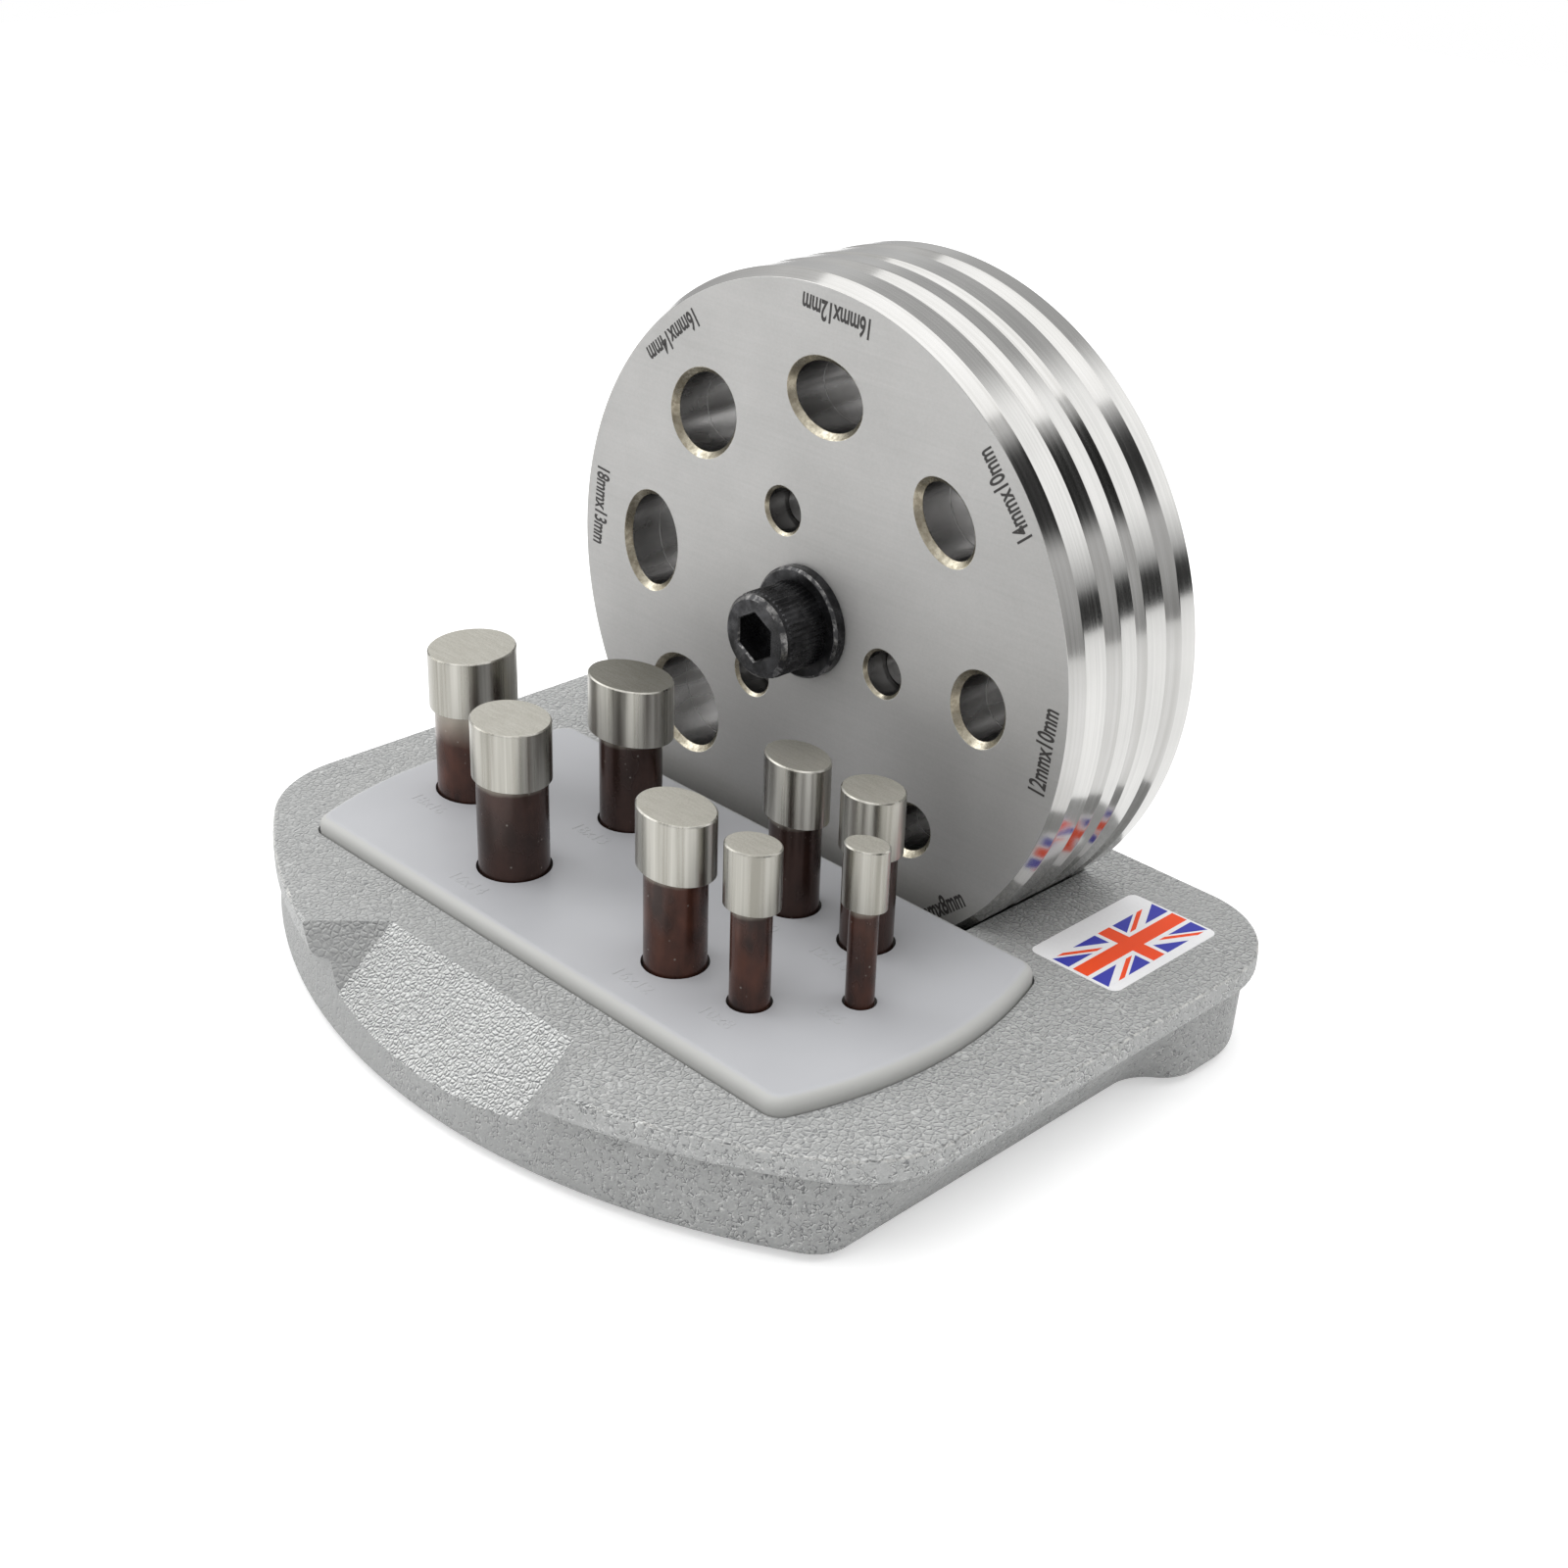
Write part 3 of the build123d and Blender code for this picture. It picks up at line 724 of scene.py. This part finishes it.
def punchPiece(name, size):
    form = punchForm
    turn = math.radians(size["turn"])
    oval = size["short"] / size["long"]
    lip = size["long"] / 2 - form["topChamfer"]
    lipOval = (size["short"] / 2 - form["topChamfer"]) / lip
    shankRadius = size["shank"] / 2
    # radius, how oval it is, and height of each ring from the foot up
    stack = ((shankRadius - form["footChamfer"], 1.0, form["foot"]),
             (shankRadius, 1.0, form["foot"] + form["footChamfer"]),
             (shankRadius, 1.0, form["under"]), (size["long"] / 2, oval, form["under"]),
             (size["long"] / 2, oval, form["top"] - form["topChamfer"]), (lip, lipOval, form["top"]))

    def at(z):
        return lambda u, v: (size["x"] + u, size["y"] + v, z)

    shape = newShape()
    rings = [addRing(shape, ringPoints(radius, form["steps"], turn, flat), at(z))
             for radius, flat, z in stack]
    for low, high, finish in zip(rings, rings[1:], (2, 2, 0, 0, 0)):
        bridge(shape, low, high, finish)
    cap(shape, rings[0], 2)
    cap(shape, rings[-1], 1)
    finishes = (head, size.get("crown", headTop), size.get("neck", shank))
    piece = finishShape(shape, "punch%sShown" % name, finishes, "punch_" + name,
                        form["softEdge"])
    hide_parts("punch_" + name)


for punchName, punchSize in punchStock.items():
    punchPiece(punchName, punchSize)
print("punches built")


# lettering: size marks etched on the front plate, raised numbers on the tray

marks = dict(size=4.97, narrow=0.60, thick=0.012, proud=0.02, radius=58.5, weight=0.115)
markPlaces = {"18mmx13mm": 174.0, "16mmx14mm": 129.2, "16mmx12mm": 84.9, "14mmx10mm": 38.9,
              "12mmx10mm": -5.5, "10mmx8mm": -51.0, "8mmx6mm": -97.0, "18mmx16mm": -141.0}


def lettering(name, words, size, material, thick, narrow=1.0, weight=0.0):
    curve = bpy.data.curves.new(name, "FONT")
    curve.body = words
    curve.size = size * mm
    curve.extrude = thick * mm
    curve.offset = weight * mm
    curve.align_x = "CENTER"
    curve.align_y = "BOTTOM_BASELINE"
    curve.resolution_u = 4
    maker = bpy.data.objects.new(name + "Maker", curve)
    bpy.context.scene.collection.objects.link(maker)
    bpy.context.view_layer.update()
    mesh = bpy.data.meshes.new_from_object(maker.evaluated_get(bpy.context.evaluated_depsgraph_get()))
    bpy.data.objects.remove(maker)
    mesh.transform(Matrix.Diagonal((narrow, 1.0, 1.0, 1.0)))
    mesh.name = name
    mesh.materials.clear()
    mesh.materials.append(material)
    piece = bpy.data.objects.new(name, mesh)
    bpy.context.scene.collection.objects.link(piece)
    return piece


def etchedMark(words, degrees):
    # tops of the letters point to the middle of the plate
    piece = lettering("sizeMark" + words, words, marks["size"], etched, marks["thick"], marks["narrow"],
                      marks["weight"])
    out = Vector((math.cos(math.radians(degrees)), 0, math.sin(math.radians(degrees))))
    toFront = Vector((0, -1, 0))
    up = -out
    right = up.cross(toFront)
    place = Vector((0, dieSet["faceY"] - marks["proud"], dieSet["axisZ"])) + out * marks["radius"]
    turn = Matrix((right, up, toFront)).transposed().to_4x4()
    piece.data.transform(Matrix.Translation(place * mm) @ turn)
    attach(piece, "guide_plates")


for words, degrees in markPlaces.items():
    etchedMark(words, degrees)

trayNumbers = dict(size=3.8, thick=0.05, top=23.2, ahead=5.2)


def raisedNumber(name, size):
    piece = lettering("trayNumber" + name, name, trayNumbers["size"], plastic, trayNumbers["thick"])
    ahead = size["shank"] / 2 + trayNumbers["ahead"]
    place = Vector((size["x"], size["y"] - ahead, trayNumbers["top"]))
    piece.data.transform(Matrix.Translation(place * mm))
    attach(piece, "stand")


for punchName, punchSize in punchStock.items():
    raisedNumber(punchName, punchSize)
print("lettering built")


# flag label on the plate: a film with thin printed patches stacked on it

label = dict(x=64.8, y=40.4, wide=19.0, deep=29.6, corner=1.6, cornerSteps=6, thick=0.08, top=20.3, turn=0.6,
             printStep=0.012, sunkFilm=0.02, sunkPrint=0.01)
# apart keeps two prints of one layer off the same height
flag = dict(x=1.4, y=0.1, halfWide=6.1, halfDeep=14.2, redBar=1.6, whiteBar=2.5, diagonal=1.3,
            redDiagonal=0.8, diagonalReach=0.80, pastEdge=1.5, apart=0.2)
white = printedFilm("labelWhite", (0.90, 0.90, 0.91))
blue = printedFilm("labelBlue", (0.042, 0.048, 0.42))
red = printedFilm("labelRed", (0.93, 0.075, 0.008))


def roundedOutline(halfWide, halfDeep, corner):
    outline = []
    for side, end, start in ((1, 1, 0), (-1, 1, 90), (-1, -1, 180), (1, -1, 270)):
        for step in range(label["cornerSteps"] + 1):
            angle = math.radians(start + 90 * step / label["cornerSteps"])
            outline.append((side * (halfWide - corner) + corner * math.cos(angle),
                            end * (halfDeep - corner) + corner * math.sin(angle)))
    return outline


def clipToFlag(points):
    # cut a polygon at the four edges of the flag
    for axis, edge in ((0, flag["halfWide"]), (1, flag["halfDeep"])):
        for side in (1, -1):
            kept = []
            for here, after in zip(points, points[1:] + points[:1]):
                insideHere, insideAfter = side * here[axis] <= edge, side * after[axis] <= edge
                if insideHere:
                    kept.append(here)
                if insideHere != insideAfter:
                    share = (side * edge - here[axis]) / (after[axis] - here[axis])
                    kept.append(tuple(u + share * (v - u) for u, v in zip(here, after)))
            points = kept
    return points


def band(startPlace, endPlace, left, right):
    # strip along a line, reaching given distances to its left and right
    long = math.dist(startPlace, endPlace)
    aheadX, aheadY = ((v - u) / long for u, v in zip(startPlace, endPlace))
    corners = ((startPlace, left), (startPlace, -right), (endPlace, -right), (endPlace, left))
    return [(place[0] - aheadY * reach, place[1] + aheadX * reach) for place, reach in corners]


def labelPatch(name, outline, low, high, material):
    swing = math.radians(label["turn"])
    shape = newShape()

    def at(z):
        return lambda u, v: (label["x"] + u * math.cos(swing) - v * math.sin(swing),
                             label["y"] + u * math.sin(swing) + v * math.cos(swing), z)

    bottom = addRing(shape, outline, at(low))
    top = addRing(shape, outline, at(high))
    bridge(shape, bottom, top, 0)
    cap(shape, bottom, 0)
    cap(shape, top, 0)
    return finishShape(shape, name, (material,), "stand")


def printPatch(name, outline, layer, material):
    base = label["top"] + label["thick"]
    moved = [(flag["x"] + u, flag["y"] + v) for u, v in clipToFlag(outline)]
    labelPatch(name, moved, base - label["sunkPrint"], base + layer * label["printStep"], material)


wideReach, deepReach = flag["halfWide"], flag["halfDeep"]
longWay = ((0, -deepReach), (0, deepReach))
shortWay = ((-wideReach, 0), (wideReach, 0))
labelPatch("labelFilm", roundedOutline(label["wide"] / 2, label["deep"] / 2, label["corner"]),
           label["top"] - label["sunkFilm"], label["top"] + label["thick"], white)
printPatch("flagField", band(*longWay, wideReach, wideReach), 1, blue)
for place, (side, end) in enumerate(((1, 1), (-1, 1), (-1, -1), (1, -1))):
    tip = (side * wideReach * flag["pastEdge"], end * deepReach * flag["diagonalReach"] * flag["pastEdge"])
    apart = side * end * flag["apart"]
    whiteStrip = band((0, 0), tip, flag["diagonal"], flag["diagonal"])
    printPatch("flagWhiteDiagonal%d" % place, whiteStrip, 2 + apart, white)
    printPatch("flagRedDiagonal%d" % place, band((0, 0), tip, flag["redDiagonal"], 0), 3 + apart, red)
for colourName, reach, layer, film in (("White", flag["whiteBar"], 4, white),
                                       ("Red", flag["redBar"], 5, red)):
    printPatch("flag%sLongBar" % colourName, band(*longWay, reach, reach), layer, film)
    printPatch("flag%sShortBar" % colourName, band(*shortWay, reach, reach), layer + flag["apart"], film)
print("label built")


# studio: pale floor, soft light, camera at the photograph's angle

def seenPlainly(tree, inMetal):
    # 1 for rays from the camera and through glass, and for mirrored ones where inMetal says so
    path = tree.nodes.new("ShaderNodeLightPath")
    seen = maths(tree, "MAXIMUM", path.outputs["Is Camera Ray"], path.outputs["Is Transmission Ray"])
    return maths(tree, "MAXIMUM", seen, path.outputs["Is Glossy Ray"]) if inMetal else seen


def studioFloor():
    size = dict(reach=1100.0, below=0.02, colour=(0.80, 0.80, 0.80), rough=0.8, lift=0.42)
    shape = newShape()
    corners = [(x * size["reach"], y * size["reach"]) for x, y in ((-1, -1), (1, -1), (1, 1), (-1, 1))]
    cap(shape, addRing(shape, corners, lambda x, y: (x, y, -size["below"])), 0)
    mesh = bpy.data.meshes.new("studioFloor")
    shape.to_mesh(mesh)
    shape.free()
    material, tree, shader = startMaterial("studioFloor")
    shader.inputs["Base Color"].default_value = (*size["colour"], 1.0)
    shader.inputs["Roughness"].default_value = size["rough"]
    seen = seenPlainly(tree, inMetal=True)
    shader.inputs["Emission Color"].default_value = (1.0, 1.0, 1.0, 1.0)
    tree.links.new(maths(tree, "MULTIPLY", seen, size["lift"]), shader.inputs["Emission Strength"])
    mesh.materials.append(material)
    floor = bpy.data.objects.new("studioFloor", mesh)
    bpy.context.scene.collection.objects.link(floor)


def studioWorld():
    # soft dome with brighter and darker parts, as in a room; the camera sees it plain white
    dome = dict(zenith=0.95, horizon=0.52, zenithFrom=0.55)
    # start and full are cosines from the direction in side: where the patch starts and where it is whole
    patches = (dict(side=(0.353, 0.741, 0.571), start=0.86, full=0.95, level=1.45),
               dict(side=(-0.325, 0.720, 0.614), start=0.88, full=0.96, level=0.58),
               dict(side=(0.733, -0.020, 0.680), start=0.940, full=0.968, level=0.03))
    gap = dict(side=(0.656, 0.753, 0.0), start=0.78, full=0.90, top=0.13, bottom=0.08, level=0.03)
    world = bpy.data.worlds.new("studioAir")
    bpy.context.scene.world = world
    world.use_nodes = True
    tree = world.node_tree
    coords = tree.nodes.new("ShaderNodeTexCoord").outputs["Generated"]
    up = splitAxes(tree, coords)["Z"]
    level = spread(tree, up, 0.0, dome["zenithFrom"], dome["horizon"], dome["zenith"])

    def within(patch):
        return rise(tree, towards(tree, coords, patch["side"]), patch["start"], patch["full"])

    for patch in patches:
        level = blendValues(tree, within(patch), level, patch["level"])
    low = times(tree, rise(tree, up, gap["top"], gap["bottom"]), within(gap))
    level = blendValues(tree, low, level, gap["level"])
    seen = seenPlainly(tree, inMetal=False)
    level = blendValues(tree, seen, level, 1.0)
    tree.links.new(level, tree.nodes["Background"].inputs["Color"])
    tree.nodes["Background"].inputs["Strength"].default_value = 1.0


softboxes = {"overheadSoftbox": dict(place=(-0.15, 0.05, 1.1), wide=1.4, tall=1.4, power=5.8),
             "leftSoftbox": dict(place=(-0.9, -0.5, 0.6), wide=0.7, tall=0.9, power=3.0)}
lampAim = (0, 0, 0.05)


def softbox(name, size):
    lamp = bpy.data.lights.new(name, "AREA")
    lamp.shape = "RECTANGLE"
    lamp.size, lamp.size_y = size["wide"], size["tall"]
    lamp.energy = size["power"]
    holder = bpy.data.objects.new(name, lamp)
    holder.location = size["place"]
    holder.rotation_euler = (Vector(lampAim) - Vector(size["place"])).to_track_quat("-Z", "Y").to_euler()
    bpy.context.scene.collection.objects.link(holder)


def studioCamera():
    size = dict(azimuth=45.04, elevation=26.96, roll=1.90, lens=51.42, sensor=36.0, nearest=0.01,
                place=(0.2618, -0.2420, 0.2215))
    azimuth, elevation, roll = (math.radians(size[key]) for key in ("azimuth", "elevation", "roll"))
    back = Vector((math.sin(azimuth) * math.cos(elevation), -math.cos(azimuth) * math.cos(elevation),
                   math.sin(elevation)))
    right = (-back).cross(Vector((0, 0, 1))).normalized()
    up = right.cross(-back)
    rolledRight = right * math.cos(roll) + up * math.sin(roll)
    rolledUp = up * math.cos(roll) - right * math.sin(roll)
    lensData = bpy.data.cameras.new("studioCamera")
    lensData.sensor_width = size["sensor"]
    lensData.sensor_fit = "HORIZONTAL"
    lensData.lens = size["lens"]
    lensData.clip_start = size["nearest"]
    camera = bpy.data.objects.new("studioCamera", lensData)
    turn = Matrix((rolledRight, rolledUp, back)).transposed().to_4x4()
    camera.matrix_world = Matrix.Translation(Vector(size["place"])) @ turn
    bpy.context.scene.collection.objects.link(camera)
    bpy.context.scene.camera = camera


studioFloor()
studioWorld()
for lampName, lampSize in softboxes.items():
    softbox(lampName, lampSize)
studioCamera()
bpy.context.scene.view_settings.view_transform = "Standard"
print("studio ready")
